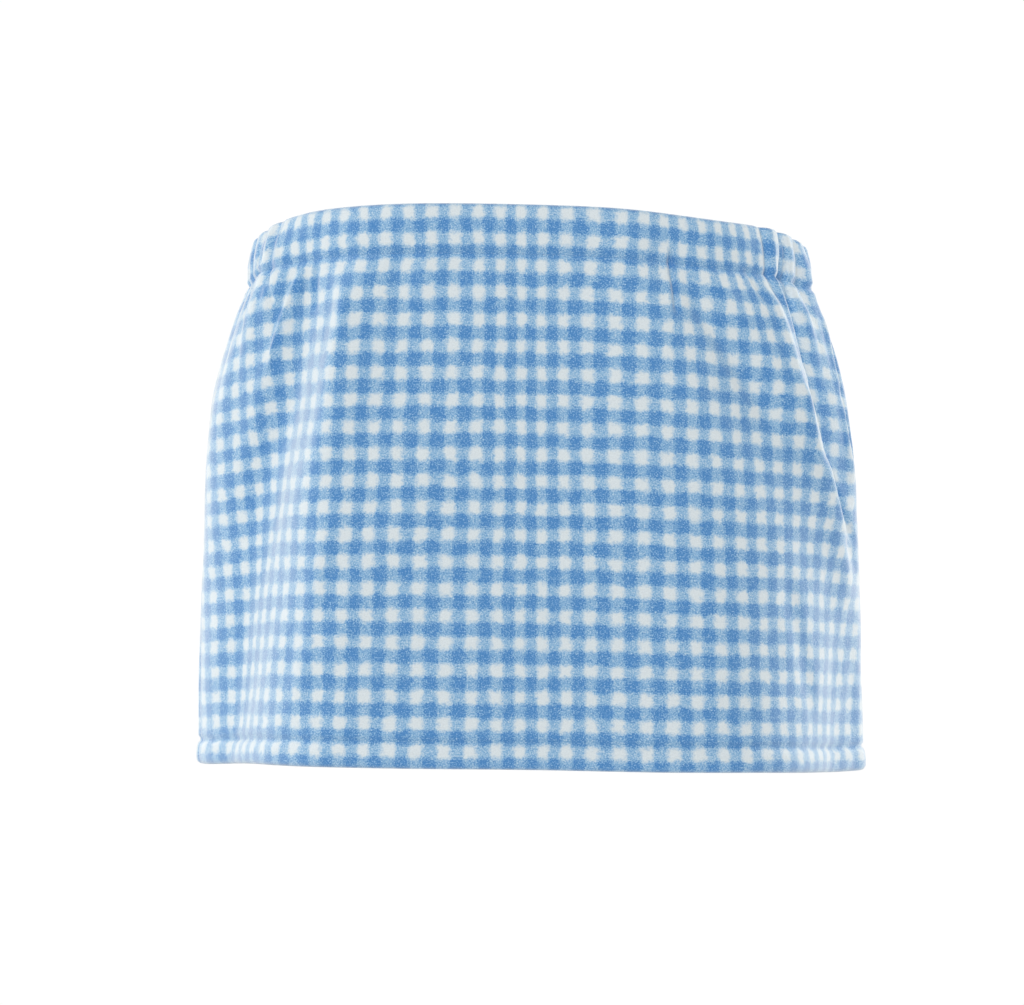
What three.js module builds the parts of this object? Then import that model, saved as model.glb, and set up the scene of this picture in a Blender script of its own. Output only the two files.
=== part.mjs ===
// A worn mini skirt with a flat front and a gathered back, cut from thick brushed check cloth.
// Each panel is one wall of cloth. Its top is folded in as a casing for elastic and its foot as a hem.
import * as THREE from 'three';

// Sizes are millimetres. X runs to the viewer's right, the front faces -Y and Z is up.
// The origin is the middle of the waist, halfway down the casing at the sides.
const CLOTH = 2.6;
const CLOTH_COLOUR = 0x9fc2e6;
const SEAM_GAP = 0.3;
const FRONT_LENGTH = 314;
const CASING_DEPTH = 28;
const CASING_SPACE = 1.6;
const HEM_DEPTH = 14.5;
const STITCH_GROOVE = 1.1;
const STITCH_REACH = 4;
const EDGE_ROUND = 1.1;
const EDGE_REACH = 4;

// Elastic gathers, counted round the sides and the back.
const GATHER_COUNT = 38;
const GATHER_START = 55;
const GATHER_BUILDS = { left: { start: 57, full: 74 }, right: { start: 55, full: 61 } };
const GATHER_HEIGHT = 2.3;
const GATHER_FADE = 34;
const GATHER_FADE_POWER = 1.4;
const GATHER_NARROWING = 0.3;
const GATHER_UNEVENNESS = [
  { size: 0.28, gathers: 5.3, start: 0.8 },
  { size: 0.16, gathers: 2.7, start: 0 },
];
const COLUMNS_PER_GATHER = 4;
const FLAT_COLUMN = 10;

// Places along the girth are degrees: 0 centre front, 90 the viewer's right side, 180 centre back.
const SIDE_SEAM = 90;
const FULL_GIRTH = 360;

// Heights of the waist fold and of the hem fold round the girth. The waist is low at the sides.
const EDGES = [
  { girth: -180, waist: 8, hem: -297 },
  { girth: -120, waist: 6.5, hem: -297 },
  { girth: -90, waist: 5.5, hem: -296.5 },
  { girth: -76, waist: 9, hem: -294.5 },
  { girth: -62, waist: 16.5, hem: -293 },
  { girth: -48, waist: 20.5, hem: -292.5 },
  { girth: -28, waist: 22, hem: -292.5 },
  { girth: 0, waist: 21, hem: -293 },
  { girth: 22, waist: 19, hem: -294.5 },
  { girth: 45, waist: 13.5, hem: -296 },
  { girth: 62, waist: 10, hem: -298 },
  { girth: 77, waist: 4, hem: -299.5 },
  { girth: 90, waist: 1.5, hem: -300 },
  { girth: 120, waist: 4.5, hem: -298.5 },
  { girth: 180, waist: 8, hem: -297 },
];

// Sections from the waist edge down to the hem. Depths run from the widest line to the front and back.
const SECTIONS = [
  { name: 'waist edge', drop: 0, halfWidth: 158.5, frontDepth: 107, backDepth: 103, frontSquare: 2.35 },
  { name: 'casing', drop: 13, halfWidth: 160.5, frontDepth: 109, backDepth: 105, frontSquare: 2.35 },
  { name: 'stitching', drop: 28, halfWidth: 162, frontDepth: 111, backDepth: 107, frontSquare: 2.35 },
  { name: 'below stitching', drop: 48, halfWidth: 170, frontDepth: 114, backDepth: 112, frontSquare: 2.4 },
  { name: 'yoke', drop: 72, halfWidth: 177.5, frontDepth: 117, backDepth: 117, frontSquare: 2.4 },
  { name: 'high hip', drop: 98, halfWidth: 183.5, frontDepth: 119.5, backDepth: 121, frontSquare: 2.4 },
  { name: 'hip', drop: 145, halfWidth: 188, frontDepth: 122, backDepth: 124, frontSquare: 2.4 },
  { name: 'thigh', drop: 217, halfWidth: 190.5, frontDepth: 123, backDepth: 123, frontSquare: 2.4 },
  { name: 'lower thigh', drop: 285, halfWidth: 193.5, frontDepth: 123, backDepth: 121, frontSquare: 2.4 },
  { name: 'hem', drop: 314, halfWidth: 195.5, frontDepth: 124, backDepth: 121, frontSquare: 2.4 },
];
const BACK_SQUARE = 2.15;
const REFERENCE_DROP = 145;

// The large drape folds. The six numbers of a column belong to these drops below the waist edge.
// A fold reaches so many degrees ahead, towards the centre front, and so many behind. A hollow is negative.
const FOLD_DROPS = [28, 70, 115, 160, 220, 314];
const FOLDS = [
  { name: 'left front hollow', at: [-50, -60, -63, -66, -70, -74], height: [0, -9, -15, -19, -21, -20],
    ahead: [14, 20, 28, 32, 36, 38], behind: [12, 16, 20, 20, 20, 22] },
  { name: 'left front ridge', at: [-40, -40, -41, -44, -47, -52], height: [1, 5, 5, 4, 2, 0],
    ahead: [12, 12, 12, 12, 14, 16], behind: [5, 5, 6, 8, 10, 12] },
  { name: 'left flank ridge', at: [-66, -64, -66, -72, -78, -84], height: [5, 3, 1, 0, 1, 1],
    ahead: [12, 10, 9, 8, 8, 8], behind: [10, 10, 9, 8, 8, 8] },
  { name: 'right front hollow', at: [33, 42, 52, 62, 70, 73], height: [-3, -5, -7, -8, -11, -18],
    ahead: [10, 15, 22, 28, 35, 38], behind: [10, 11, 12, 13, 18, 22] },
  { name: 'right drape edge', at: [59, 58, 59, 67, 78, 85], height: [1, 3, 5, 4, 1, 0],
    ahead: [9, 12, 15, 16, 15, 12], behind: [3, 3, 4, 5, 8, 8] },
  { name: 'hollow behind the edge', at: [63, 64, 66, 73, 85, 93], height: [-3, -9, -9, -4, -1, 0],
    ahead: [3, 3, 3, 4, 6, 8], behind: [5, 10, 10, 10, 10, 12] },
  { name: 'right flank ridge', at: [76, 79, 79, 79, 84, 88], height: [3, 2, 2, 2, 2, 2],
    ahead: [4, 5, 5, 5, 5, 4], behind: [3, 3, 3, 4, 5, 5] },
  { name: 'left knee hollow', at: [-51, -51, -55, -60, -65, -70], height: [0, -6, -10, -6, -2, 0],
    ahead: [8, 10, 12, 12, 12, 12], behind: [8, 10, 13, 14, 13, 12] },
  { name: 'outer right back fold', at: [108, 110, 112, 114, 117, 120], height: [0, 2, 4, 5, 5, 4],
    ahead: [12, 13, 14, 14, 15, 16], behind: [10, 11, 12, 13, 14, 15] },
  { name: 'right back hollow', at: [126, 127, 129, 132, 135, 138], height: [0, -1.5, -4, -6, -6, -5],
    ahead: [10, 11, 13, 14, 15, 16], behind: [12, 13, 14, 14, 15, 16] },
  { name: 'inner right back fold', at: [147, 148, 150, 151, 153, 152], height: [0, 2, 3, 4.5, 5, 5],
    ahead: [10, 11, 12, 13, 14, 15], behind: [9, 10, 12, 13, 14, 14] },
  { name: 'centre back hollow', at: [171, 172, 173, 175, 176, 175], height: [0, -1, -2.5, -4, -5, -5],
    ahead: [11, 12, 13, 14, 15, 15], behind: [12, 12, 13, 14, 14, 15] },
  { name: 'inner left back fold', at: [-164, -163, -162, -160, -159, -158], height: [0, 1.5, 3, 4.5, 5.5, 5],
    ahead: [10, 11, 12, 13, 14, 15], behind: [10, 11, 12, 13, 13, 14] },
  { name: 'left back hollow', at: [-141, -141, -140, -138, -137, -136], height: [0, -2, -4, -5.5, -6, -5],
    ahead: [12, 13, 14, 15, 15, 16], behind: [11, 12, 13, 14, 15, 15] },
  { name: 'outer left back fold', at: [-121, -120, -119, -118, -117, -116], height: [0, 2, 4, 5, 4.5, 4],
    ahead: [11, 12, 13, 13, 14, 15], behind: [12, 13, 14, 15, 15, 16] },
];

// Rows of the walls, as drops below the waist edge. The back needs every column only where it is gathered.
const UPPER_ROWS = [0, 3, 13, 24, 28, 33, 46, 64, 86];
const FRONT_LOWER_ROWS = [109, 132, 156, 180, 205, 235, 265];
const BACK_LOWER_ROWS = [115, 155, 200, 250];
const HEM_ROWS = [295, 299.5, 304, 314];
const CASING_ROWS = [0, 3, 14, CASING_DEPTH];

// The front's columns lean with the right drape edge down to the first drop, and are upright by the second.
const LEAN_FULL = 205;
const LEAN_GONE = 295;
const LEAN_START = 20;

const DEGREE = Math.PI / 180;
const clamp = (value, low, high) => Math.min(high, Math.max(low, value));
const smooth = (value) => value * value * (3 - 2 * value);
const signedPower = (value, power) => Math.sign(value) * Math.abs(value) ** power;

// A smooth curve through the values given at the places.
function alongTable(places, values, place) {
  const last = places.length - 1;
  const at = clamp(place, places[0], places[last]);
  let i = 0;
  while (i < last - 1 && at > places[i + 1]) i += 1;
  const slope = (k) => {
    const a = Math.max(k - 1, 0);
    const b = Math.min(k + 1, last);
    return (values[b] - values[a]) / (places[b] - places[a]);
  };
  const span = places[i + 1] - places[i];
  const u = (at - places[i]) / span;
  const bend = (u - 1) * (u - 1) * u * slope(i) + (u - 1) * u * u * slope(i + 1);
  return values[i] + (values[i + 1] - values[i]) * smooth(u) + bend * span;
}

const SECTION_DROPS = SECTIONS.map((row) => row.drop);
const sectionValue = (column, drop) => alongTable(SECTION_DROPS, SECTIONS.map((row) => row[column]), drop);

function sectionAt(drop) {
  return {
    halfWidth: sectionValue('halfWidth', drop),
    frontDepth: sectionValue('frontDepth', drop),
    backDepth: sectionValue('backDepth', drop),
    frontSquare: sectionValue('frontSquare', drop),
  };
}

// A point of the plain rounded section and its outward direction, before folds and gathers.
function sectionPoint(section, angle) {
  const front = Math.cos(angle) >= 0;
  const depth = front ? section.frontDepth : section.backDepth;
  const square = front ? section.frontSquare : BACK_SQUARE;
  const x = section.halfWidth * signedPower(Math.sin(angle), 2 / square);
  const y = -depth * signedPower(Math.cos(angle), 2 / square);
  const outX = signedPower(x / section.halfWidth, square - 1) / section.halfWidth;
  const outY = signedPower(y / depth, square - 1) / depth;
  const size = Math.hypot(outX, outY);
  return { x, y, outX: outX / size, outY: outY / size };
}

// The section angle of each place along the girth, so that places are evenly spaced round the cloth.
function measureGirth(steps) {
  const section = sectionAt(REFERENCE_DROP);
  const lengths = [0];
  let before = sectionPoint(section, 0);
  for (let i = 1; i <= steps; i += 1) {
    const point = sectionPoint(section, (i / steps) * FULL_GIRTH * DEGREE);
    lengths.push(lengths[i - 1] + Math.hypot(point.x - before.x, point.y - before.y));
    before = point;
  }
  return lengths;
}

const GIRTH_STEPS = 2880;
const GIRTH_LENGTHS = measureGirth(GIRTH_STEPS);
const GIRTH = GIRTH_LENGTHS[GIRTH_STEPS];
const QUARTERS = [0, 1, 2, 3, 4].map((k) => GIRTH_LENGTHS[(k * GIRTH_STEPS) / 4]);

// Girth degrees keep each quarter at 90, so that 90 and -90 are the sides.
function sectionAngle(girth) {
  const turned = ((girth % FULL_GIRTH) + FULL_GIRTH) % FULL_GIRTH;
  const quarter = Math.min(3, Math.floor(turned / 90));
  const share = (turned - quarter * 90) / 90;
  const length = QUARTERS[quarter] + share * (QUARTERS[quarter + 1] - QUARTERS[quarter]);
  let low = 0;
  let high = GIRTH_STEPS;
  while (high - low > 1) {
    const middle = (low + high) >> 1;
    if (GIRTH_LENGTHS[middle] > length) high = middle;
    else low = middle;
  }
  const within = (length - GIRTH_LENGTHS[low]) / (GIRTH_LENGTHS[high] - GIRTH_LENGTHS[low]);
  return ((low + within) / GIRTH_STEPS) * FULL_GIRTH * DEGREE;
}

function girthBetween(girth, centre) {
  const apart = (girth - centre + 1.5 * FULL_GIRTH) % FULL_GIRTH;
  return apart - FULL_GIRTH / 2;
}

// One soft fold: highest at its own place, gone at its reach on either side.
function foldHeight(fold, girth, drop) {
  const value = (column) => alongTable(FOLD_DROPS, fold[column], drop);
  const apart = girthBetween(girth, value('at')) * Math.sign(fold.at[0]);
  const reach = apart < 0 ? value('ahead') : value('behind');
  const share = Math.abs(apart) / reach;
  if (share >= 1) return 0;
  return value('height') * 0.5 * (1 + Math.cos(Math.PI * share));
}

// Height of the elastic gathers. They are uneven, and they fade out below the stitching.
function gatherHeight(girth, drop) {
  const place = girthBetween(girth, 0);
  const side = place < 0 ? GATHER_BUILDS.left : GATHER_BUILDS.right;
  const build = smooth(clamp((Math.abs(place) - side.start) / (side.full - side.start), 0, 1));
  if (build === 0) return 0;
  const gathered = FULL_GIRTH - 2 * GATHER_START;
  const turned = ((girth - GATHER_START) % FULL_GIRTH + FULL_GIRTH) % FULL_GIRTH;
  const phase = (turned / gathered) * GATHER_COUNT * 2 * Math.PI;
  const uneven = GATHER_UNEVENNESS.reduce((sum, wave) => (
    sum + wave.size * Math.sin(phase / wave.gathers + wave.start)
  ), 1);
  const below = Math.max(0, drop - CASING_DEPTH);
  const fade = Math.exp(-((below / GATHER_FADE) ** GATHER_FADE_POWER));
  const narrowValleys = Math.cos(phase) - GATHER_NARROWING * Math.cos(2 * phase);
  return GATHER_HEIGHT * build * uneven * fade * narrowValleys;
}

const EDGE_GIRTHS = EDGES.map((row) => row.girth);

function edgeHeight(column, girth) {
  return alongTable(EDGE_GIRTHS, EDGES.map((row) => row[column]), girthBetween(girth, 0));
}

// The place that a column reaches at a drop, leaned so that the columns keep beside the drape edge.
const DRAPE_EDGE = FOLDS.find((fold) => fold.name === 'right drape edge');

function leanedGirth(girth, drop) {
  const start = DRAPE_EDGE.at[0];
  if (girth <= LEAN_START || girth >= SIDE_SEAM) return girth;
  const lean = alongTable(FOLD_DROPS, DRAPE_EDGE.at, Math.min(drop, LEAN_FULL)) - start;
  const left = 1 - smooth(clamp((drop - LEAN_FULL) / (LEAN_GONE - LEAN_FULL), 0, 1));
  const share = girth < start
    ? (girth - LEAN_START) / (start - LEAN_START)
    : (SIDE_SEAM - girth) / (SIDE_SEAM - start);
  return girth + lean * left * share;
}

const nearLine = (drop, line, reach) => Math.max(0, 1 - Math.abs(drop - line) / reach);

// The outer face of the cloth at a place on the girth and a drop, moved out along the plain section.
function clothPoint(girth, drop, out = 0) {
  const base = sectionPoint(sectionAt(drop), sectionAngle(girth));
  const inBody = smooth(clamp(drop / CASING_DEPTH, 0, 1));
  const folds = FOLDS.reduce((sum, fold) => sum + foldHeight(fold, girth, drop), 0) * inBody;
  const grooves = STITCH_GROOVE * nearLine(drop, CASING_DEPTH, STITCH_REACH)
    + STITCH_GROOVE * nearLine(drop, FRONT_LENGTH - HEM_DEPTH, STITCH_REACH);
  const rounding = EDGE_ROUND * (nearLine(drop, 0, EDGE_REACH) + nearLine(drop, FRONT_LENGTH, EDGE_REACH));
  const height = folds + gatherHeight(girth, drop) - grooves + out - Math.max(0, rounding + Math.min(0, out));
  const waist = edgeHeight('waist', girth);
  const hem = edgeHeight('hem', girth);
  return new THREE.Vector3(
    base.x + base.outX * height,
    base.y + base.outY * height,
    waist + (hem - waist) * (drop / FRONT_LENGTH),
  );
}

// Columns from one side seam to the other, close together where the elastic gathers the cloth.
function columnsBetween(from, to) {
  const gatherStep = (FULL_GIRTH - 2 * GATHER_START) / (GATHER_COUNT * COLUMNS_PER_GATHER);
  const edgeGap = ((SEAM_GAP / 2) / GIRTH) * FULL_GIRTH;
  const places = [from + edgeGap];
  let place = from;
  while (place < to) {
    const flat = Math.abs(girthBetween(place + gatherStep / 2, 0)) < GATHER_START;
    place += flat ? (FLAT_COLUMN / GIRTH) * FULL_GIRTH : gatherStep;
    if (place < to - gatherStep / 2) places.push(place);
  }
  places.push(to - edgeGap);
  if (places.length % 2 === 0) places.splice(places.length - 2, 1);
  return places;
}

// A closed wall between an outer and an inner face. Rows from the first coarse one use every second column.
function buildWall(columns, rows, outside, inside, coarseFrom = Infinity) {
  const positions = [];
  const faces = [];
  const addRow = (drop, face) => columns
    .filter((girth, i) => drop < coarseFrom || i % 2 === 0)
    .map((girth) => {
      const point = clothPoint(leanedGirth(girth, drop), drop, face(drop));
      positions.push(point.x, point.y, point.z);
      return positions.length / 3 - 1;
    });
  const outer = rows.map((drop) => addRow(drop, outside));
  const inner = rows.map((drop) => addRow(drop, inside));

  const triangle = (a, b, c, flip) => (flip ? faces.push(a, c, b) : faces.push(a, b, c));
  const quad = (a, b, c, d, flip) => {
    triangle(a, b, c, flip);
    triangle(a, c, d, flip);
  };
  const strip = (top, foot, flip) => {
    if (top.length === foot.length) {
      for (let i = 0; i < top.length - 1; i += 1) quad(top[i], foot[i], foot[i + 1], top[i + 1], flip);
      return;
    }
    for (let i = 0; i < foot.length - 1; i += 1) {
      triangle(top[2 * i], foot[i], top[2 * i + 1], flip);
      triangle(foot[i], foot[i + 1], top[2 * i + 1], flip);
      triangle(top[2 * i + 1], foot[i + 1], top[2 * i + 2], flip);
    }
  };
  for (let j = 0; j < rows.length - 1; j += 1) {
    strip(outer[j], outer[j + 1], false);
    strip(inner[j], inner[j + 1], true);
    const start = [outer[j][0], outer[j + 1][0], inner[j + 1][0], inner[j][0]];
    quad(...start, true);
    const end = [outer[j], outer[j + 1], inner[j + 1], inner[j]].map((row) => row[row.length - 1]);
    quad(...end, false);
  }
  strip(inner[0], outer[0], false);
  strip(outer[rows.length - 1], inner[rows.length - 1], false);

  const geometry = new THREE.BufferGeometry();
  geometry.setAttribute('position', new THREE.Float32BufferAttribute(positions, 3));
  geometry.setIndex(faces);
  geometry.computeVertexNormals();
  return geometry;
}

// The space between the panel and its folded-in layer swells where the elastic lies.
function casingSpace(drop) {
  return SEAM_GAP + CASING_SPACE * Math.sin(Math.PI * clamp(drop / CASING_DEPTH, 0, 1));
}

function makePiece(name, geometry) {
  const material = new THREE.MeshStandardMaterial({ color: CLOTH_COLOUR, roughness: 0.95, metalness: 0 });
  const mesh = new THREE.Mesh(geometry, material);
  mesh.name = name;
  return mesh;
}

function makePanel(name, columns, lowerRows, coarseFrom) {
  const rows = [...UPPER_ROWS, ...lowerRows, ...HEM_ROWS];
  return makePiece(name, buildWall(columns, rows, () => 0, () => -CLOTH, coarseFrom));
}

function makeCasing(name, columns) {
  const outside = (drop) => -CLOTH - casingSpace(drop);
  const inside = (drop) => -2 * CLOTH - casingSpace(drop);
  return makePiece(name, buildWall(columns, CASING_ROWS, outside, inside));
}

function makeHem(name, columns, coarseFrom) {
  const outside = () => -CLOTH - SEAM_GAP;
  const inside = () => -2 * CLOTH - SEAM_GAP;
  return makePiece(name, buildWall(columns, HEM_ROWS.slice(1), outside, inside, coarseFrom));
}

const frontColumns = columnsBetween(-SIDE_SEAM, SIDE_SEAM);
const backColumns = columnsBetween(SIDE_SEAM, FULL_GIRTH - SIDE_SEAM);

const skirt = new THREE.Group();
skirt.add(
  makePanel('front_panel', frontColumns, FRONT_LOWER_ROWS, Infinity),
  makePanel('back_panel', backColumns, BACK_LOWER_ROWS, BACK_LOWER_ROWS[0]),
  makeCasing('waist_casing_front', frontColumns),
  makeCasing('waist_casing_back', backColumns),
  makeHem('hem_turn_front', frontColumns, Infinity),
  makeHem('hem_turn_back', backColumns, BACK_LOWER_ROWS[0]),
);

export default skirt;
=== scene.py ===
# A worn mini skirt in thick brushed check cloth: its cloth, sewing, floor, lights and camera.
# Lengths in the tables are millimetres; the scene is in metres. X is the viewer's right, the front faces -Y.
import math

import bpy
import numpy as np
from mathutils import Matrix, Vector


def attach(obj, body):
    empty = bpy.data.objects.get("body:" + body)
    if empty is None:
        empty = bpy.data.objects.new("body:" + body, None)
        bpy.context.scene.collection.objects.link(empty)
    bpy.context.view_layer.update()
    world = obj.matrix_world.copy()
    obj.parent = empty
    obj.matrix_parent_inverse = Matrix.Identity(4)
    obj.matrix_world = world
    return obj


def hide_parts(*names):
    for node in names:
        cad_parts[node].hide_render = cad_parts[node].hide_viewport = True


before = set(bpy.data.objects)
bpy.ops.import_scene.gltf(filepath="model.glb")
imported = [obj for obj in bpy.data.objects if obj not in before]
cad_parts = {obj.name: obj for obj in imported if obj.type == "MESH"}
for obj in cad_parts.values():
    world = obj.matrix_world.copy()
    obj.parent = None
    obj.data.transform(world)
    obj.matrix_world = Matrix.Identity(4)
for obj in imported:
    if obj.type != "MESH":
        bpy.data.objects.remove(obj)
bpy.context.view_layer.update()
MM = 0.001

# Camera: level, 2.6 m in front of the skirt's centre plane.
CAMERA_AWAY = 2600
CAMERA_X = -10.44
CAMERA_Z = -145
LENS = 157.6
SENSOR = 36
SIGHT_END = 30000


def make_camera():
    data = bpy.data.cameras.new("photo_camera")
    data.lens = LENS
    data.sensor_width = SENSOR
    data.clip_end = SIGHT_END * MM
    camera = bpy.data.objects.new("photo_camera", data)
    camera.location = (CAMERA_X * MM, -CAMERA_AWAY * MM, CAMERA_Z * MM)
    camera.rotation_euler = (math.pi / 2, 0, 0)
    bpy.context.scene.collection.objects.link(camera)
    bpy.context.scene.camera = camera


make_camera()

# Shape of the cloth, the same sizes as the solids.
CLOTH = 2.6
SEAM_GAP = 0.3
FRONT_LENGTH = 314
CASING_DEPTH = 28
CASING_SPACE = 1.6
HEM_DEPTH = 14.5
SIDE_SEAM = 90
FULL_GIRTH = 360
QUARTER_GIRTH = FULL_GIRTH / 4

GATHER_COUNT = 38
GATHER_START = 55
GATHER_BUILD_LEFT = (57, 74)
GATHER_BUILD_RIGHT = (55, 61)
GATHER_HEIGHT = 2.3
GATHER_FADE = 34
GATHER_FADE_POWER = 1.4
GATHER_NARROWING = 0.3
GATHER_UNEVENNESS = [
    {"size": 0.28, "gathers": 5.3, "start": 0.8},
    {"size": 0.16, "gathers": 2.7, "start": 0},
]

# Heights of the waist fold and of the hem fold round the girth.
EDGES = {
    "girth": [-180, -120, -90, -76, -62, -48, -28, 0, 22, 45, 62, 77, 90, 120, 180],
    "waist": [8, 6.5, 5.5, 9, 16.5, 20.5, 22, 21, 19, 13.5, 10, 4, 1.5, 4.5, 8],
    "hem": [-297, -297, -296.5, -294.5, -293, -292.5, -292.5, -293, -294.5, -296, -298, -299.5, -300,
            -298.5, -297],
}

# Sections from the waist edge down to the hem.
SECTIONS = {
    "drop": [0, 13, 28, 48, 72, 98, 145, 217, 285, 314],
    "half_width": [158.5, 160.5, 162, 170, 177.5, 183.5, 188, 190.5, 193.5, 195.5],
    "front_depth": [107, 109, 111, 114, 117, 119.5, 122, 123, 123, 124],
    "back_depth": [103, 105, 107, 112, 117, 121, 124, 123, 121, 121],
    "front_square": [2.35, 2.35, 2.35, 2.4, 2.4, 2.4, 2.4, 2.4, 2.4, 2.4],
}
BACK_SQUARE = 2.15
REFERENCE_DROP = 145

# The large drape folds, as in the solids. The numbers of a column belong to these drops.
FOLD_DROPS = [28, 70, 115, 160, 220, 314]
FOLDS = [
    {"name": "left front hollow", "at": [-50, -60, -63, -66, -70, -74],
     "height": [0, -9, -15, -19, -21, -20],
     "ahead": [14, 20, 28, 32, 36, 38], "behind": [12, 16, 20, 20, 20, 22]},
    {"name": "left front ridge", "at": [-40, -40, -41, -44, -47, -52], "height": [1, 5, 5, 4, 2, 0],
     "ahead": [12, 12, 12, 12, 14, 16], "behind": [5, 5, 6, 8, 10, 12]},
    {"name": "left flank ridge", "at": [-66, -64, -66, -72, -78, -84], "height": [5, 3, 1, 0, 1, 1],
     "ahead": [12, 10, 9, 8, 8, 8], "behind": [10, 10, 9, 8, 8, 8]},
    {"name": "right front hollow", "at": [33, 42, 52, 62, 70, 73], "height": [-3, -5, -7, -8, -11, -18],
     "ahead": [10, 15, 22, 28, 35, 38], "behind": [10, 11, 12, 13, 18, 22]},
    {"name": "right drape edge", "at": [59, 58, 59, 67, 78, 85], "height": [1, 3, 5, 4, 1, 0],
     "ahead": [9, 12, 15, 16, 15, 12], "behind": [3, 3, 4, 5, 8, 8]},
    {"name": "hollow behind the edge", "at": [63, 64, 66, 73, 85, 93],
     "height": [-3, -9, -9, -4, -1, 0],
     "ahead": [3, 3, 3, 4, 6, 8], "behind": [5, 10, 10, 10, 10, 12]},
    {"name": "right flank ridge", "at": [76, 79, 79, 79, 84, 88], "height": [3, 2, 2, 2, 2, 2],
     "ahead": [4, 5, 5, 5, 5, 4], "behind": [3, 3, 3, 4, 5, 5]},
    {"name": "left knee hollow", "at": [-51, -51, -55, -60, -65, -70],
     "height": [0, -6, -10, -6, -2, 0],
     "ahead": [8, 10, 12, 12, 12, 12], "behind": [8, 10, 13, 14, 13, 12]},
    {"name": "outer right back fold", "at": [108, 110, 112, 114, 117, 120], "height": [0, 2, 4, 5, 5, 4],
     "ahead": [12, 13, 14, 14, 15, 16], "behind": [10, 11, 12, 13, 14, 15]},
    {"name": "right back hollow", "at": [126, 127, 129, 132, 135, 138], "height": [0, -1.5, -4, -6, -6, -5],
     "ahead": [10, 11, 13, 14, 15, 16], "behind": [12, 13, 14, 14, 15, 16]},
    {"name": "inner right back fold", "at": [147, 148, 150, 151, 153, 152], "height": [0, 2, 3, 4.5, 5, 5],
     "ahead": [10, 11, 12, 13, 14, 15], "behind": [9, 10, 12, 13, 14, 14]},
    {"name": "centre back hollow", "at": [171, 172, 173, 175, 176, 175],
     "height": [0, -1, -2.5, -4, -5, -5],
     "ahead": [11, 12, 13, 14, 15, 15], "behind": [12, 12, 13, 14, 14, 15]},
    {"name": "inner left back fold", "at": [-164, -163, -162, -160, -159, -158],
     "height": [0, 1.5, 3, 4.5, 5.5, 5],
     "ahead": [10, 11, 12, 13, 14, 15], "behind": [10, 11, 12, 13, 13, 14]},
    {"name": "left back hollow", "at": [-141, -141, -140, -138, -137, -136],
     "height": [0, -2, -4, -5.5, -6, -5],
     "ahead": [12, 13, 14, 15, 15, 16], "behind": [11, 12, 13, 14, 15, 15]},
    {"name": "outer left back fold", "at": [-121, -120, -119, -118, -117, -116],
     "height": [0, 2, 4, 5, 4.5, 4],
     "ahead": [11, 12, 13, 13, 14, 15], "behind": [12, 13, 14, 15, 15, 16]},
]


def smooth(value):
    return value * value * (3 - 2 * value)


def signed_power(value, power):
    return np.sign(value) * np.abs(value) ** power


def near_line(distance, reach):
    """1 on the line, falling softly to 0 at the reach on either side."""
    return 0.5 * (1 + np.cos(np.pi * np.minimum(np.abs(distance) / reach, 1)))


def along_table(places, values, place):
    """A smooth curve through the values given at the places."""
    places = np.asarray(places, dtype=float)
    values = np.asarray(values, dtype=float)
    last = len(places) - 1
    at = np.clip(place, places[0], places[last])
    i = np.clip(np.searchsorted(places, at, side="left") - 1, 0, last - 1)
    k = np.arange(last + 1)
    after = np.minimum(k + 1, last)
    before = np.maximum(k - 1, 0)
    slopes = (values[after] - values[before]) / (places[after] - places[before])
    span = places[i + 1] - places[i]
    u = (at - places[i]) / span
    bend = (u - 1) ** 2 * u * slopes[i] + (u - 1) * u * u * slopes[i + 1]
    return values[i] + (values[i + 1] - values[i]) * smooth(u) + bend * span


def section_at(drop):
    names = ("half_width", "front_depth", "back_depth", "front_square")
    return {name: along_table(SECTIONS["drop"], SECTIONS[name], drop) for name in names}


def section_point(section, angle):
    """A point of the plain rounded section and its outward direction."""
    front = np.cos(angle) >= 0
    depth = np.where(front, section["front_depth"], section["back_depth"])
    square = np.where(front, section["front_square"], BACK_SQUARE)
    x = section["half_width"] * signed_power(np.sin(angle), 2 / square)
    y = -depth * signed_power(np.cos(angle), 2 / square)
    out_x = signed_power(x / section["half_width"], square - 1) / section["half_width"]
    out_y = signed_power(y / depth, square - 1) / depth
    size = np.hypot(out_x, out_y)
    return x, y, out_x / size, out_y / size


GIRTH_STEPS = 2880
STEP_ANGLES = np.linspace(0, 2 * math.pi, GIRTH_STEPS + 1)
HIP_X, HIP_Y = section_point(section_at(REFERENCE_DROP), STEP_ANGLES)[:2]
HIP_LENGTHS = np.concatenate([[0], np.cumsum(np.hypot(np.diff(HIP_X), np.diff(HIP_Y)))])
GIRTH = HIP_LENGTHS[-1]
QUARTERS = HIP_LENGTHS[:: GIRTH_STEPS // 4]


def hip_length(girth):
    """Length along the hip section from the centre front, for places along the girth from 0 to 360."""
    quarter = np.minimum(3, np.floor(girth / QUARTER_GIRTH)).astype(int)
    share = girth / QUARTER_GIRTH - quarter
    return QUARTERS[quarter] + share * (QUARTERS[quarter + 1] - QUARTERS[quarter])


def section_angle(girth):
    return np.interp(hip_length(np.mod(girth, FULL_GIRTH)), HIP_LENGTHS, STEP_ANGLES)


def arc_from_front(girth):
    """Signed length of cloth from the centre front, for places from -90 to 270."""
    length = hip_length(np.mod(girth, FULL_GIRTH))
    return np.where(girth < 0, length - GIRTH, length)


def on_cloth(girth):
    """The same place, from -90 to 270, as the cloth pieces count it."""
    return girth + FULL_GIRTH if girth < -SIDE_SEAM else girth


def girth_between(girth, centre):
    """How far the place lies from the centre along the girth, from -180 to 180."""
    return np.mod(girth - centre + 1.5 * FULL_GIRTH, FULL_GIRTH) - FULL_GIRTH / 2


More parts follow.
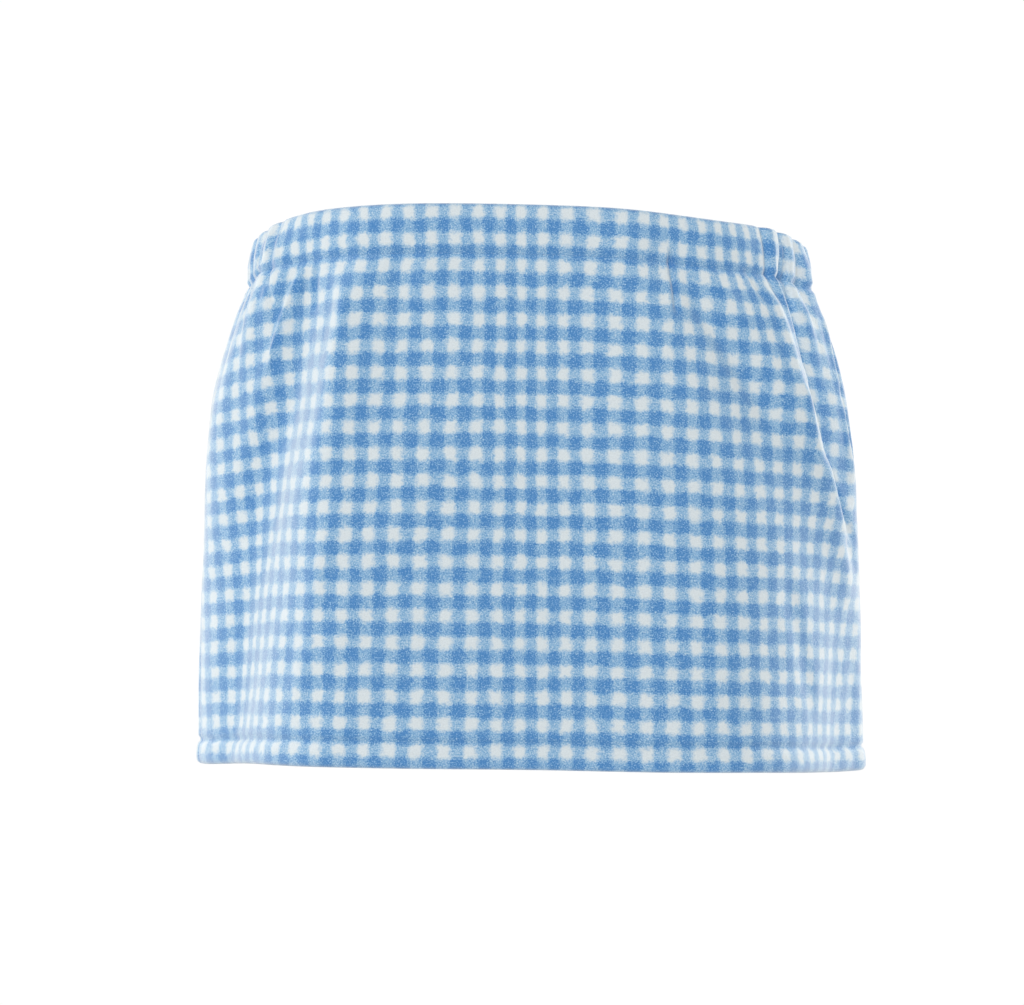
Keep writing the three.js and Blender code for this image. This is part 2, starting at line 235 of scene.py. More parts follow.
def fold_height(fold, girth, drop):
    """One soft fold: highest at its own place, gone at its reach on either side."""
    apart = girth_between(girth, along_table(FOLD_DROPS, fold["at"], drop)) * math.copysign(1, fold["at"][0])
    ahead = along_table(FOLD_DROPS, fold["ahead"], drop)
    behind = along_table(FOLD_DROPS, fold["behind"], drop)
    reach = np.where(apart < 0, ahead, behind)
    return along_table(FOLD_DROPS, fold["height"], drop) * near_line(apart, reach)


def gather_build(girth):
    """0 where the front is flat, 1 where the gathers are full. They start later on the left."""
    place = girth_between(girth, 0)
    start = np.where(place < 0, GATHER_BUILD_LEFT[0], GATHER_BUILD_RIGHT[0])
    full = np.where(place < 0, GATHER_BUILD_LEFT[1], GATHER_BUILD_RIGHT[1])
    return smooth(np.clip((np.abs(place) - start) / (full - start), 0, 1))


def gather_height(girth, drop):
    """Height of the elastic gathers. They are uneven, and they fade out below the stitching."""
    gathered = FULL_GIRTH - 2 * GATHER_START
    phase = np.mod(girth - GATHER_START, FULL_GIRTH) / gathered * GATHER_COUNT * 2 * np.pi
    uneven = 1
    for wave in GATHER_UNEVENNESS:
        uneven = uneven + wave["size"] * np.sin(phase / wave["gathers"] + wave["start"])
    below = np.maximum(0, drop - CASING_DEPTH)
    fade = np.exp(-((below / GATHER_FADE) ** GATHER_FADE_POWER))
    narrow_valleys = np.cos(phase) - GATHER_NARROWING * np.cos(2 * phase)
    return GATHER_HEIGHT * gather_build(girth) * uneven * fade * narrow_valleys


def edge_height(column, girth):
    return along_table(EDGES["girth"], EDGES[column], girth_between(girth, 0))


# Detail that only the render has.
STITCH_GROOVE = 1.3
STITCH_GROOVE_GATHERED = 0.6
HEM_GROOVE = 1.6
STITCH_REACH = 3.2
SEAM_GROOVE = 1.3
SEAM_REACH = 3.0
CASING_BULGE = 0.9
HEM_BULGE = 0.8

# Soft unevenness: waves that turn by one radian for so much cloth along the girth and down the drop.
WAVES = [
    {"height": 0.34, "arc": 17, "drop": 31, "start": 0.7},
    {"height": 0.26, "arc": 11.3, "drop": -23, "start": 2.1},
    {"height": 0.16, "arc": 6.1, "drop": 9.7, "start": 1.3},
]

# Small creases. Each runs from one place (girth, drop) to another, so high and reaching so far to each side.
CREASES = [
    {"name": "front tuck", "start": (33.9, 17), "end": (31.3, 60), "height": -3.6, "reach": 2.9},
    {"name": "cloth beside the tuck", "start": (32.3, 20), "end": (30, 58), "height": 1.4, "reach": 4},
    {"name": "faint centre crease", "start": (-5.2, 28), "end": (-4.8, 60), "height": -0.8, "reach": 3},
    {"name": "centre trough, upper", "start": (-5, 2), "end": (-1, 150), "height": -1.0, "reach": 15},
    {"name": "centre trough, lower", "start": (-2, 110), "end": (2, 314), "height": -0.9, "reach": 17},
    {"name": "upper left ridge", "start": (-46, 28), "end": (-38, 74), "height": 1.3, "reach": 8},
    {"name": "left casing crease", "start": (-66.2, 26), "end": (-60.6, 52), "height": -1.8, "reach": 3},
    {"name": "left slant ridge", "start": (-54.8, 28), "end": (-61.4, 92), "height": 2.4, "reach": 4.6},
    {"name": "left casing gather, first", "start": (-64.2, 0), "end": (-62.6, 27), "height": 1.0,
     "reach": 2.4},
    {"name": "left casing gather, second", "start": (-67.4, 0), "end": (-65.8, 26), "height": 1.3,
     "reach": 2.4},
    {"name": "left casing gather, third", "start": (-72, 0), "end": (-70, 25), "height": 1.3, "reach": 2.6},
    {"name": "left casing groove", "start": (-69.6, 0), "end": (-67.9, 26), "height": -1.4, "reach": 2.4},
    {"name": "left short crease", "start": (-52, 30), "end": (-49, 60), "height": -1.3, "reach": 4},
    {"name": "left pale streak", "start": (-25, 6), "end": (-23, 105), "height": 0.9, "reach": 9},
    {"name": "left deep streak", "start": (-32, 22), "end": (-31, 92), "height": -0.9, "reach": 8},
    {"name": "left inner streak", "start": (-18, 24), "end": (-16, 68), "height": -0.8, "reach": 7},
    {"name": "right dimple", "start": (12, 34), "end": (14, 50), "height": -0.9, "reach": 8},
    {"name": "right pale band", "start": (24, 66), "end": (44, 140), "height": 0.9, "reach": 11},
    {"name": "right shallow trough", "start": (33.5, 38), "end": (53, 122), "height": -1.3, "reach": 10},
    {"name": "right upper ridge", "start": (41, 26), "end": (57, 108), "height": 1.0, "reach": 9},
    {"name": "right casing ridge", "start": (64.9, 0), "end": (64.6, 46), "height": 3.2, "reach": 3.4},
    {"name": "right outer casing groove", "start": (69.6, 1), "end": (69.2, 44), "height": -2, "reach": 3.2},
    {"name": "right casing crease", "start": (52, 24), "end": (54.5, 46), "height": -1.4, "reach": 3.4},
    {"name": "drape rim, upper", "start": (57.6, 34), "end": (57.4, 96), "height": 1.8, "reach": 7},
    {"name": "drape rim, middle", "start": (57.6, 84), "end": (63.6, 138), "height": 2.0, "reach": 6.5},
    {"name": "drape rim, lower", "start": (62.8, 126), "end": (76, 182), "height": 2.2, "reach": 7},
    {"name": "behind the rim, upper", "start": (61.8, 34), "end": (61.6, 96), "height": -2.2, "reach": 4},
    {"name": "behind the rim, middle", "start": (61.4, 84), "end": (67.2, 138), "height": -3,
     "reach": 4.4},
    {"name": "behind the rim, lower", "start": (66.4, 126), "end": (79.8, 182), "height": -2.4, "reach": 5},
    {"name": "second ridge, upper", "start": (76.6, 38), "end": (74.4, 98), "height": 1.6, "reach": 4},
    {"name": "second ridge, lower", "start": (74.3, 88), "end": (77.6, 146), "height": 1.7, "reach": 4},
    {"name": "second groove, upper", "start": (78.8, 42), "end": (76.8, 100), "height": -2.6, "reach": 3},
    {"name": "second groove, lower", "start": (76.8, 90), "end": (79.2, 142), "height": -2.6, "reach": 3},
    {"name": "right low trough", "start": (52, 190), "end": (64, 290), "height": -1.1, "reach": 12},
    {"name": "left low ridge", "start": (-40, 170), "end": (-48, 290), "height": 1.0, "reach": 12},
    {"name": "back left crease", "start": (-128, 26), "end": (-124, 74), "height": -1.6, "reach": 4},
    {"name": "back left slant", "start": (-150, 60), "end": (-141, 150), "height": 1.1, "reach": 10},
    {"name": "back middle crease", "start": (176, 28), "end": (179, 66), "height": -1.5, "reach": 4},
    {"name": "back right slant", "start": (158, 80), "end": (149, 170), "height": -1.1, "reach": 11},
    {"name": "back right crease", "start": (117, 26), "end": (121, 80), "height": -1.7, "reach": 4},
    {"name": "back low ridge", "start": (138, 180), "end": (130, 285), "height": 1.2, "reach": 12},
    {"name": "back left low trough", "start": (-112, 170), "end": (-120, 280), "height": -1.2, "reach": 12},
]
# Share of a crease's length that tapers at each end.
CREASE_END = 0.25


def crease_height(crease, arc, drop):
    """One small crease along a straight line on the cloth, tapered towards its ends."""
    (start_girth, start_drop), (end_girth, end_drop) = crease["start"], crease["end"]
    start_arc = float(arc_from_front(np.array(on_cloth(start_girth))))
    run_arc = float(arc_from_front(np.array(on_cloth(end_girth)))) - start_arc
    run_drop = end_drop - start_drop
    length = math.hypot(run_arc, run_drop)
    along = ((arc - start_arc) * run_arc + (drop - start_drop) * run_drop) / length
    across = ((arc - start_arc) * run_drop - (drop - start_drop) * run_arc) / length
    near_end = np.clip(np.minimum(along, length - along) / (CREASE_END * length), 0, 1)
    return crease["height"] * smooth(near_end) * near_line(across, crease["reach"])


def fine_height(girth, drop):
    """Soft unevenness, small creases, stitch lines and seams, added to the folds."""
    arc = arc_from_front(girth)
    waves = sum(wave["height"] * np.sin(arc / wave["arc"] + drop / wave["drop"] + wave["start"])
                for wave in WAVES)
    groove = STITCH_GROOVE + STITCH_GROOVE_GATHERED * gather_build(girth)
    grooves = (groove * near_line(drop - CASING_DEPTH, STITCH_REACH)
               + HEM_GROOVE * near_line(drop - FRONT_LENGTH + HEM_DEPTH, STITCH_REACH))
    seams = (QUARTERS[1], -QUARTERS[1], QUARTERS[3])
    seam = near_line(np.minimum.reduce([np.abs(arc - place) for place in seams]), SEAM_REACH)
    casing = CASING_BULGE * np.sin(np.pi * np.clip(drop / CASING_DEPTH, 0, 1))
    hem = HEM_BULGE * np.sin(np.pi * np.clip((FRONT_LENGTH - drop) / HEM_DEPTH, 0, 1))
    creases = sum(crease_height(crease, arc, drop) for crease in CREASES)
    return waves + creases + casing + hem - grooves - SEAM_GROOVE * seam


def cloth_points(girth, drop, inset):
    """Points of the cloth at places on the girth and drops, moved in along the plain section."""
    x, y, out_x, out_y = section_point(section_at(drop), section_angle(girth))
    in_body = smooth(np.clip(drop / CASING_DEPTH, 0, 1))
    folds = sum(fold_height(fold, girth, drop) for fold in FOLDS) * in_body
    height = folds + gather_height(girth, drop) + fine_height(girth, drop) - inset
    waist = edge_height("waist", girth)
    hem = edge_height("hem", girth)
    z = waist + (hem - waist) * (drop / FRONT_LENGTH)
    return np.stack([x + out_x * height, y + out_y * height, z], axis=-1) * MM


# The cloth's path from the raw edge in the casing, over the waist fold, down and round the hem fold.
CLOTH_STEP = 1.58
# The two pieces stay this far apart at the side seams, so that no light shows between them.
SEWN_GAP = 0.02
FOLD_RADIUS = CLOTH + SEAM_GAP / 2
FOLD_STEPS = 6


def casing_space(drop):
    return SEAM_GAP + CASING_SPACE * np.sin(np.pi * np.clip(drop / CASING_DEPTH, 0, 1))


def stepped(start, end):
    return np.linspace(start, end, 1 + round(abs(end - start) / CLOTH_STEP))


def path_rows():
    """Rows along the path: drop and inset of the right side and of the wrong side, and length of cloth."""
    outer_start = FOLD_RADIUS
    outer_end = FRONT_LENGTH - FOLD_RADIUS
    inner_drops = stepped(CASING_DEPTH, outer_start)
    outer_drops = stepped(outer_start, outer_end)
    hem_drops = stepped(outer_end, FRONT_LENGTH - HEM_DEPTH)
    turns = np.linspace(0, np.pi, FOLD_STEPS + 1)
    wrong_radius = SEAM_GAP / 2
    arc = FOLD_RADIUS * np.pi
    rows = []
    for drop in inner_drops:
        space = casing_space(drop)
        rows.append((drop, 2 * CLOTH + space, drop, CLOTH + space, 2 * outer_start - arc - drop))
    for turn in turns[::-1][1:-1]:
        rows.append((
            outer_start - FOLD_RADIUS * np.sin(turn), FOLD_RADIUS * (1 - np.cos(turn)),
            outer_start - wrong_radius * np.sin(turn), FOLD_RADIUS - wrong_radius * np.cos(turn),
            outer_start - FOLD_RADIUS * turn))
    for drop in outer_drops:
        rows.append((drop, 0, drop, CLOTH, drop))
    for turn in turns[1:-1]:
        rows.append((
            outer_end + FOLD_RADIUS * np.sin(turn), FOLD_RADIUS * (1 - np.cos(turn)),
            outer_end + wrong_radius * np.sin(turn), FOLD_RADIUS - wrong_radius * np.cos(turn),
            outer_end + FOLD_RADIUS * turn))
    for drop in hem_drops:
        rows.append((drop, 2 * CLOTH + SEAM_GAP, drop, CLOTH + SEAM_GAP, 2 * outer_end + arc - drop))
    # The wrong side takes every second row, so their number has to be odd.
    if len(rows) % 2 == 0:
        del rows[1]
    return np.array(rows).T


# The check. Rows repeat down the length and columns round the girth, drawn closer at the centre front.
CHECK_WIDTH = 14.0
CHECK_HEIGHT = 14.95
CHECK_ROW_START = 19.9
CHECK_COLUMN_AT = 49.2
CHECK_SOFTNESS = 3.6
DRAWN_IN = {"drop": [0, 20, 40, 64, 80, 130, 200, 314], "width": [3, 3.5, 7, 9.5, 9, 9, 7, 6]}
DRAWN_IN_REACH = 42

# Where the cloth is drawn along its rows, towards the viewer's right. Each shift changes with the drop and
# is shared out along the row.
DRAWN_ASIDE = [
    {"name": "right front", "drop": [0, 20, 34, 48, 64, 80, 95, 110, 135],
     "shift": [-13, -12, -10, -6, -5, -3, -2, -1, 0],
     "at": [0, 30, 62, 90, 115, 135, 155], "share": [0, 0.45, 1, 1, 0.75, 0.35, 0]},
    {"name": "by the right drape edge", "drop": [0, 20, 34, 48, 64, 80, 95, 110],
     "shift": [-2, -2, -4, -5, -4, -4, -2, 0],
     "at": [105, 130, 140, 158], "share": [0, 1, 0.9, 0]},
    {"name": "left front", "drop": [0, 20, 34, 48, 64, 94, 125, 155, 185, 240],
     "shift": [8, 7, 6, 3, 0, -3, -3, -3, -1, 0],
     "at": [-180, -160, -140, -112, -97, -65, -34, 0], "share": [0, 0.5, 1, 1, 0.8, 0.5, 0.25, 0]},
]


def check_column_place(arc, drop):
    share = arc / DRAWN_IN_REACH
    place = arc + along_table(DRAWN_IN["drop"], DRAWN_IN["width"], drop) * share * np.exp(-share * share)
    for row in DRAWN_ASIDE:
        shift = along_table(row["drop"], row["shift"], drop)
        place = place + shift * along_table(row["at"], row["share"], arc)
    return place


def make_mesh(name, points, faces, corner_uv=None):
    mesh = bpy.data.meshes.new(name)
    mesh.from_pydata(points, [], faces)
    if corner_uv is not None:
        layer = mesh.uv_layers.new(name="cloth")
        layer.data.foreach_set("uv", corner_uv.ravel())
    mesh.shade_smooth()
    thing = bpy.data.objects.new(name, mesh)
    bpy.context.scene.collection.objects.link(thing)
    return thing


def grid_faces(index, flip):
    a = index[:-1, :-1].ravel()
    b = index[1:, :-1].ravel()
    c = index[1:, 1:].ravel()
    d = index[:-1, 1:].ravel()
    return np.stack([a, d, c, b] if flip else [a, b, c, d], axis=1)


def rim_faces(fine, coarse, flip):
    """Triangles that join a fine edge to one with half as many steps."""
    faces = []
    for i in range(len(coarse) - 1):
        trio = [
            (fine[2 * i], coarse[i], fine[2 * i + 1]),
            (coarse[i], coarse[i + 1], fine[2 * i + 1]),
            (fine[2 * i + 1], coarse[i + 1], fine[2 * i + 2]),
        ]
        faces.extend([tri[::-1] for tri in trio] if flip else trio)
    return faces


def make_cloth(name, start, end):
    """One closed shell of cloth between two side seams, fine outside and coarser inside."""
    right_drop, right_inset, wrong_drop, wrong_inset, length = path_rows()
    gap = SEWN_GAP / 2 / GIRTH * FULL_GIRTH
    steps = 2 * round((end - start) / FULL_GIRTH * GIRTH / CLOTH_STEP / 2)
    girths = np.linspace(start + gap, end - gap, steps + 1)

    right = cloth_points(girths[None, :], right_drop[:, None], right_inset[:, None])
    wrong = cloth_points(girths[None, ::2], wrong_drop[::2, None], wrong_inset[::2, None])
    right_index = np.arange(right.shape[0] * right.shape[1]).reshape(right.shape[:2])
    wrong_index = np.arange(wrong.shape[0] * wrong.shape[1]).reshape(wrong.shape[:2]) + right_index.size
    points = np.concatenate([right.reshape(-1, 3), wrong.reshape(-1, 3)])

    arc = arc_from_front(girths)
    across = check_column_place(arc[None, :], np.clip(length, 0, FRONT_LENGTH)[:, None])
    down = np.repeat(length[:, None], len(girths), axis=1)
    place = np.concatenate([
        np.stack([across.ravel(), down.ravel()], axis=1),
        np.stack([across[::2, ::2].ravel(), down[::2, ::2].ravel()], axis=1),
    ])

    faces = grid_faces(right_index, False).tolist() + grid_faces(wrong_index, True).tolist()
    faces += rim_faces(right_index[0], wrong_index[0], True)
    faces += rim_faces(right_index[-1], wrong_index[-1], False)
    faces += rim_faces(right_index[:, 0], wrong_index[:, 0], False)
    faces += rim_faces(right_index[:, -1], wrong_index[:, -1], True)
    corners = np.concatenate([np.asarray(face) for face in faces])
    return make_mesh(name, points.tolist(), faces, place[corners] * MM)


# Materials.
def link(tree, output, target):
    tree.links.new(output, target)


def add_node(tree, kind, inputs=None, **settings):
    node = tree.nodes.new(kind)
    for key, value in settings.items():
        setattr(node, key, value)
    for key, value in (inputs or {}).items():
        socket = node.inputs[key]
        if isinstance(value, bpy.types.NodeSocket):
            tree.links.new(value, socket)
        else:
            socket.default_value = value
    return node


def maths(tree, operation, a, b=0.0):
    node = add_node(tree, "ShaderNodeMath", {0: a, 1: b}, operation=operation)
    return node.outputs[0]


# Numbers of the mix node's sockets for colours.
MIX_FACTOR = 0
MIX_FIRST = 6
MIX_SECOND = 7
MIX_RESULT = 2


def mix_colour(tree, factor, a, b, blend="MIX"):
    node = tree.nodes.new("ShaderNodeMix")
    node.data_type = "RGBA"
    node.blend_type = blend
    for index, value in ((MIX_FACTOR, factor), (MIX_FIRST, a), (MIX_SECOND, b)):
        if isinstance(value, bpy.types.NodeSocket):
            tree.links.new(value, node.inputs[index])
        else:
            node.inputs[index].default_value = value
    return node.outputs[MIX_RESULT]


def linear(red, green, blue):
    """A displayed colour, 0 to 255, as the shader's linear colour."""
    def one(value):
        share = value / 255
        return share / 12.92 if share <= 0.04045 else ((share + 0.055) / 1.055) ** 2.4
    return (one(red), one(green), one(blue), 1.0)


# Colours of the cloth. A column and a row together make the deep blue, and one alone the middle one.
BLUE_DEEP = linear(82, 142, 203)
BLUE_MIDDLE = linear(149, 192, 226)
PALE = linear(225, 234, 238)
COLUMN_BLUE = 0.5
ROW_BLUE = 0.56

# Painted sheen: the pale colour mixed into the base colour where the cloth turns away from the eye, its
# largest share and the power of its rise.
PAINTED_SHEEN_PALE = linear(217, 230, 235)
PAINTED_SHEEN_MOST = 0.75
PAINTED_SHEEN_POWER = 2.2

# Noises of the cloth. A scale counts cells a metre, and a reach is in millimetres.
WIDE_WANDER = {"scale": 90, "detail": 1.0, "reach": 3.0}
CLOSE_WANDER = {"scale": 330, "detail": 3.0, "reach": 5.0}
WANDER_ROUGHNESS = 0.65
FLECKS = {"scale": 1150, "detail": 3.0, "roughness": 0.75}
BLOTS = {"scale": 300, "detail": 2.0, "roughness": 0.5}
NAP = {"scale": 1100, "detail": 4.0, "roughness": 0.65}
PILE = {"scale": 330, "detail": 3.0, "roughness": 0.6}
NOISE_MIDDLE = (0.3, 0.7)

# How much blue the flecks and blots let through, and how light the fibres are.
FLECK_SHOWS = (0.2, 1.8)
BLOT_SHOWS = (0.8, 1.2)
FIBRE_LIGHT = (1.07, 0.91)

# Relief and gloss of the cloth.
NAP_RELIEF = 0.55
PILE_RELIEF = 0.6
RELIEF_STRENGTH = 0.55
RELIEF_DISTANCE = 0.0011
CLOTH_ROUGHNESS = 0.95
CLOTH_GLOSS = 0.15
CLOTH_SHEEN = 1.0
CLOTH_SHEEN_ROUGHNESS = 0.4

# Share of a repeat from the middle of a stripe to its edge.
STRIPE_EDGE = 0.25


def stripe(tree, place, repeat, centre, soft):
    """1 in the blue half of a repeat and 0 in the pale half, with soft edges."""
    turned = maths(tree, "ADD", maths(tree, "DIVIDE", place, repeat * MM), -centre / repeat)
    share = maths(tree, "FRACT", maths(tree, "ADD", turned, 0.5))
    away = maths(tree, "ABSOLUTE", maths(tree, "SUBTRACT", share, 0.5))
    reach = soft / repeat / 2
    node = add_node(tree, "ShaderNodeMapRange", {
        "Value": away, "From Min": STRIPE_EDGE - reach, "From Max": STRIPE_EDGE + reach,
        "To Min": 0.0, "To Max": 1.0,
    }, interpolation_type="SMOOTHSTEP")
    return node.outputs[0]


def noise(tree, vector, scale, detail, roughness):
    return add_node(tree, "ShaderNodeTexNoise", {
        "Vector": vector, "Scale": scale, "Detail": detail, "Roughness": roughness,
    })


def spread(tree, texture, low, high):
    """The middle part of a noise, spread out between two values."""
    node = add_node(tree, "ShaderNodeMapRange", {
        "Value": texture.outputs["Fac"], "From Min": NOISE_MIDDLE[0], "From Max": NOISE_MIDDLE[1],
        "To Min": low, "To Max": high,
    })
    return node.outputs[0]


def wandering(tree, place, scale, detail, reach):
    """The place, moved about by a noise that reaches so many millimetres from side to side."""
    wander = noise(tree, place, scale, detail, WANDER_ROUGHNESS)
    shift = add_node(tree, "ShaderNodeVectorMath", {0: wander.outputs["Color"], 1: (0.5, 0.5, 0.5)},
                     operation="SUBTRACT")
    scaled = add_node(tree, "ShaderNodeVectorMath", {0: shift.outputs[0], "Scale": reach * MM},
                      operation="SCALE")
    moved = add_node(tree, "ShaderNodeVectorMath", {0: place, 1: scaled.outputs[0]}, operation="ADD")
    return moved.outputs[0]


def make_check_cloth():
    material = bpy.data.materials.new("brushed_check")
    material.use_nodes = True
    tree = material.node_tree
    shader = tree.nodes["Principled BSDF"]
    cloth = add_node(tree, "ShaderNodeUVMap", uv_map="cloth").outputs[0]

    ragged = wandering(tree, wandering(tree, cloth, **WIDE_WANDER), **CLOSE_WANDER)
    parts = add_node(tree, "ShaderNodeSeparateXYZ", {0: ragged})
    columns = stripe(tree, parts.outputs[0], CHECK_WIDTH, CHECK_COLUMN_AT, CHECK_SOFTNESS)
    rows = stripe(tree, parts.outputs[1], CHECK_HEIGHT, CHECK_ROW_START, CHECK_SOFTNESS)

    # Blue yarns show as much as the brushed fibres over them let through.
    blue = maths(tree, "ADD", maths(tree, "MULTIPLY", columns, COLUMN_BLUE),
                 maths(tree, "MULTIPLY", rows, ROW_BLUE))
    fleck = noise(tree, cloth, **FLECKS)
    blot = noise(tree, cloth, **BLOTS)
    uneven = maths(tree, "MULTIPLY", spread(tree, fleck, *FLECK_SHOWS), spread(tree, blot, *BLOT_SHOWS))
    shown = maths(tree, "MULTIPLY", blue, uneven)
    ramp = add_node(tree, "ShaderNodeValToRGB", {0: shown})
    ramp.color_ramp.elements[0].color = PALE
    ramp.color_ramp.elements[1].color = BLUE_DEEP
    ramp.color_ramp.elements[1].position = 1.0
    middle = ramp.color_ramp.elements.new(0.5)
    middle.color = BLUE_MIDDLE
    fibre = spread(tree, fleck, *FIBRE_LIGHT)
    grey = add_node(tree, "ShaderNodeCombineColor", {0: fibre, 1: fibre, 2: fibre})
    coloured = mix_colour(tree, 1.0, ramp.outputs[0], grey.outputs[0], "MULTIPLY")

    # Painted sheen: the brushed fibres stand up from the cloth, and their sheen is painted into the base
    # colour, which is mixed towards a pale colour where the cloth turns away from the eye.
    facing = add_node(tree, "ShaderNodeLayerWeight", {"Blend": 0.5}).outputs["Facing"]
    painted_sheen = maths(tree, "MULTIPLY", maths(tree, "POWER", facing, PAINTED_SHEEN_POWER), PAINTED_SHEEN_MOST)
    link(tree, mix_colour(tree, painted_sheen, coloured, PAINTED_SHEEN_PALE), shader.inputs["Base Color"])

    nap = noise(tree, cloth, **NAP)
    pile = noise(tree, cloth, **PILE)
    height = maths(tree, "ADD", maths(tree, "MULTIPLY", nap.outputs["Fac"], NAP_RELIEF),
                   maths(tree, "MULTIPLY", pile.outputs["Fac"], PILE_RELIEF))
    bump = add_node(tree, "ShaderNodeBump", {
        "Height": height, "Strength": RELIEF_STRENGTH, "Distance": RELIEF_DISTANCE,
    })
    link(tree, bump.outputs[0], shader.inputs["Normal"])
    shader.inputs["Roughness"].default_value = CLOTH_ROUGHNESS
    shader.inputs["Specular IOR Level"].default_value = CLOTH_GLOSS
    shader.inputs["Sheen Weight"].default_value = CLOTH_SHEEN
    shader.inputs["Sheen Roughness"].default_value = CLOTH_SHEEN_ROUGHNESS
    return material


# Faint grain of the thread and the floor.
GRAIN = {"scale": 60, "detail": 2.0, "roughness": 0.5}
GRAIN_DARKEST = 0.94


def make_plain(name, colour, roughness):
    """One colour with a faint grain."""
    material = bpy.data.materials.new(name)
    material.use_nodes = True
    tree = material.node_tree
    shader = tree.nodes["Principled BSDF"]
    where = add_node(tree, "ShaderNodeTexCoord").outputs["Object"]
    grain = noise(tree, where, **GRAIN)
    low = tuple(GRAIN_DARKEST * value for value in colour[:3]) + (1.0,)
    shade = mix_colour(tree, grain.outputs["Fac"], low, colour)
    link(tree, shade, shader.inputs["Base Color"])
    shader.inputs["Roughness"].default_value = roughness
    return material


# Sewing: one row of stitches under the casing and one above the hem, each stitch a short tapered thread.
STITCH_LENGTH = 2.9
STITCH_SPACE = 0.5
THREAD = 0.3
THREAD_SIDES = 6
THREAD_COLOUR = linear(118, 160, 208)
THREAD_ROUGHNESS = 0.85
# Along one stitch: share of its length, share of the thread's thickness, and how far in from the face.
STITCH = {
    "along": [0, 0.2, 0.5, 0.8, 1],
    "size": [0.35, 0.9, 1, 0.9, 0.35],
    "inset": [0.35, -0.05, -0.15, -0.05, 0.35],
}
# The way out of the cloth is taken from a point this far in.
STITCH_DEPTH = 4


def make_stitches(name, start, end, drop):
    """One row of separate stitches round the girth, each sunk in the cloth at both ends."""
    count = int((end - start) / FULL_GIRTH * GIRTH / (STITCH_LENGTH + STITCH_SPACE))
    pitch = (end - start) / count
    share = STITCH_LENGTH / (STITCH_LENGTH + STITCH_SPACE)
    points = []
    faces = []
    for k in range(count):
        first = start + pitch * (k + (1 - share) / 2)
        places = first + pitch * share * np.array(STITCH["along"])
        drops = np.full(len(places), float(drop))
        line = cloth_points(places, drops, np.array(STITCH["inset"]))
        inner = cloth_points(places, drops, STITCH_DEPTH)
        base = len(points)
        for i, size in enumerate(STITCH["size"]):
            out = line[i] - inner[i]
            out /= np.linalg.norm(out)
            up = np.array([0.0, 0.0, 1.0])
            for side in range(THREAD_SIDES):
                turn = 2 * math.pi * side / THREAD_SIDES
                offset = (out * math.cos(turn) + up * math.sin(turn)) * THREAD / 2 * size * MM
                points.append((line[i] + offset).tolist())
        for i in range(len(places) - 1):
            for side in range(THREAD_SIDES):
                a = base + i * THREAD_SIDES + side
                b = base + i * THREAD_SIDES + (side + 1) % THREAD_SIDES
                faces.append((a, b, b + THREAD_SIDES, a + THREAD_SIDES))
        faces.append(tuple(base + side for side in range(THREAD_SIDES))[::-1])
        last = base + (len(places) - 1) * THREAD_SIDES
        faces.append(tuple(last + side for side in range(THREAD_SIDES)))
    return make_mesh(name, points, faces)


# The skirt.
check_cloth = make_check_cloth()
thread = make_plain("sewing_thread", THREAD_COLOUR, THREAD_ROUGHNESS)

front = make_cloth("front_cloth", -SIDE_SEAM, SIDE_SEAM)
back = make_cloth("back_cloth", SIDE_SEAM, FULL_GIRTH - SIDE_SEAM)
stitch_rows = [
    make_stitches("casing_stitches_front", -SIDE_SEAM, SIDE_SEAM, CASING_DEPTH),
    make_stitches("casing_stitches_back", SIDE_SEAM, FULL_GIRTH - SIDE_SEAM, CASING_DEPTH),
    make_stitches("hem_stitches_front", -SIDE_SEAM, SIDE_SEAM, FRONT_LENGTH - HEM_DEPTH),
    make_stitches("hem_stitches_back", SIDE_SEAM, FULL_GIRTH - SIDE_SEAM, FRONT_LENGTH - HEM_DEPTH),
]
for piece in (front, back):
    piece.data.materials.append(check_cloth)
    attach(piece, "root")
for row in stitch_rows:
    row.data.materials.append(thread)
    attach(row, "root")
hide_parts("front_panel", "waist_casing_front", "hem_turn_front")
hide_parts("back_panel", "waist_casing_back", "hem_turn_back")

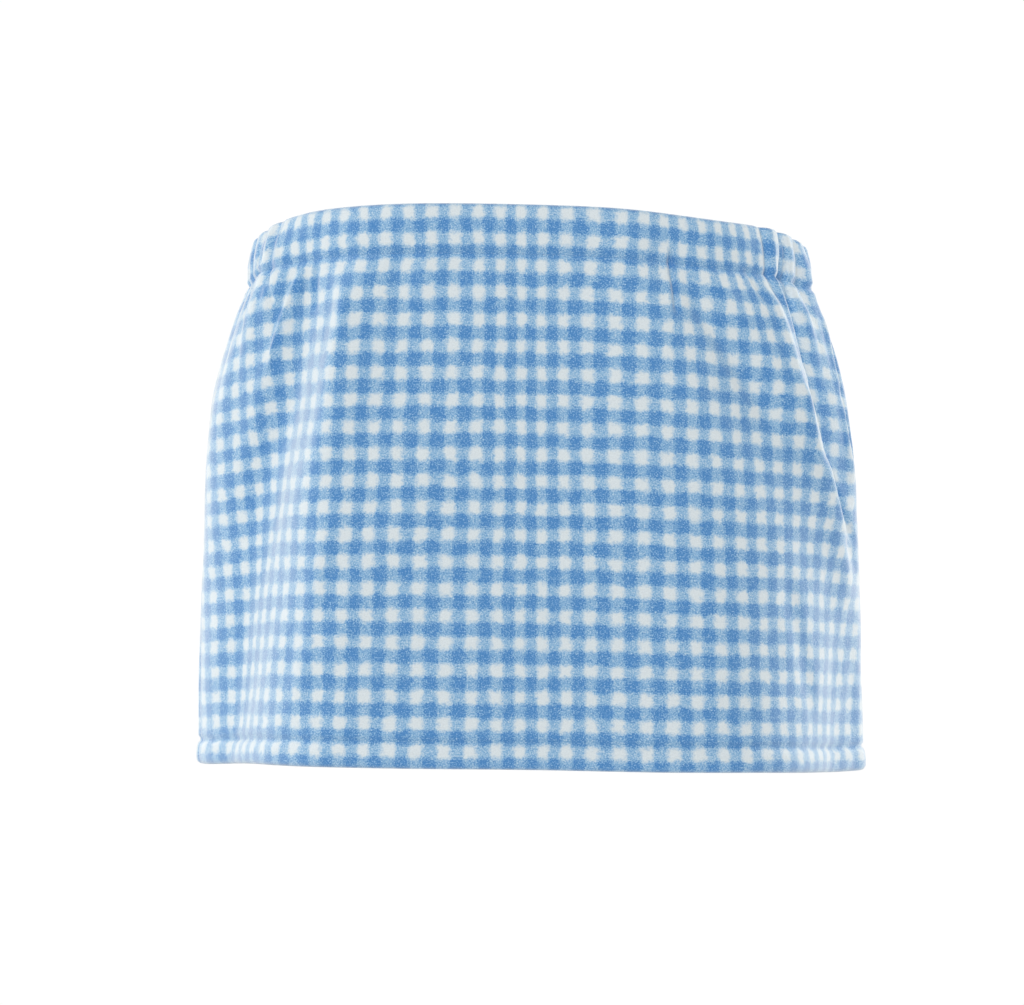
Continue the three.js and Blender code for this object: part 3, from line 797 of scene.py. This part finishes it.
# Floor, lights and white surroundings, in metres and watts.
FLOOR_DOWN = 0.85
FLOOR_SIDE = 1.6
FLOOR_COLOUR = (0.86, 0.87, 0.88, 1.0)
FLOOR_ROUGHNESS = 0.8
WHITE = (1.0, 1.0, 1.0, 1.0)
WHITE_ON_SKIRT = 0.4
WHITE_SEEN_MORE = 0.62
SKIRT_CENTRE = (0.0, 0.0, -0.145)
LIGHTS = [
    {"name": "left_softbox", "place": (-1.7, 0.25, 0.15), "size": (0.9, 1.6), "power": 18.5},
    {"name": "right_softbox", "place": (1.7, 0.9, 0.15), "size": (0.9, 1.6), "power": 25},
    {"name": "left_back_softbox", "place": (-1.3, 1.5, 0.3), "size": (1.0, 1.6), "power": 12},
    {"name": "right_back_softbox", "place": (1.3, 1.5, 0.3), "size": (1.0, 1.6), "power": 12},
    {"name": "front_fill", "place": (0.1, -2.6, 1.1), "size": (2.2, 1.4), "power": 43},
]


def make_floor():
    half = FLOOR_SIDE / 2
    corners = [(-half, -half, -FLOOR_DOWN), (half, -half, -FLOOR_DOWN), (half, half, -FLOOR_DOWN),
               (-half, half, -FLOOR_DOWN)]
    floor = make_mesh("floor", corners, [(0, 1, 2, 3)])
    floor.data.materials.append(make_plain("pale_floor", FLOOR_COLOUR, FLOOR_ROUGHNESS))


def area_light(name, place, size, power):
    """A soft light that points at the skirt."""
    data = bpy.data.lights.new(name, "AREA")
    data.shape = "RECTANGLE"
    data.size, data.size_y = size
    data.energy = power
    light = bpy.data.objects.new(name, data)
    light.location = place
    light.rotation_euler = (Vector(SKIRT_CENTRE) - Vector(place)).to_track_quat("-Z", "Y").to_euler()
    bpy.context.scene.collection.objects.link(light)


def make_world():
    """White where the camera looks past the skirt, and a dimmer even light on the skirt."""
    world = bpy.data.worlds.new("white_surroundings")
    bpy.context.scene.world = world
    world.use_nodes = True
    tree = world.node_tree
    background = tree.nodes["Background"]
    path = add_node(tree, "ShaderNodeLightPath")
    more = maths(tree, "MULTIPLY", path.outputs["Is Camera Ray"], WHITE_SEEN_MORE)
    strength = maths(tree, "ADD", more, WHITE_ON_SKIRT)
    background.inputs["Color"].default_value = WHITE
    link(tree, strength, background.inputs["Strength"])


make_floor()
make_world()
for row in LIGHTS:
    area_light(**row)
bpy.context.scene.view_settings.view_transform = "Standard"
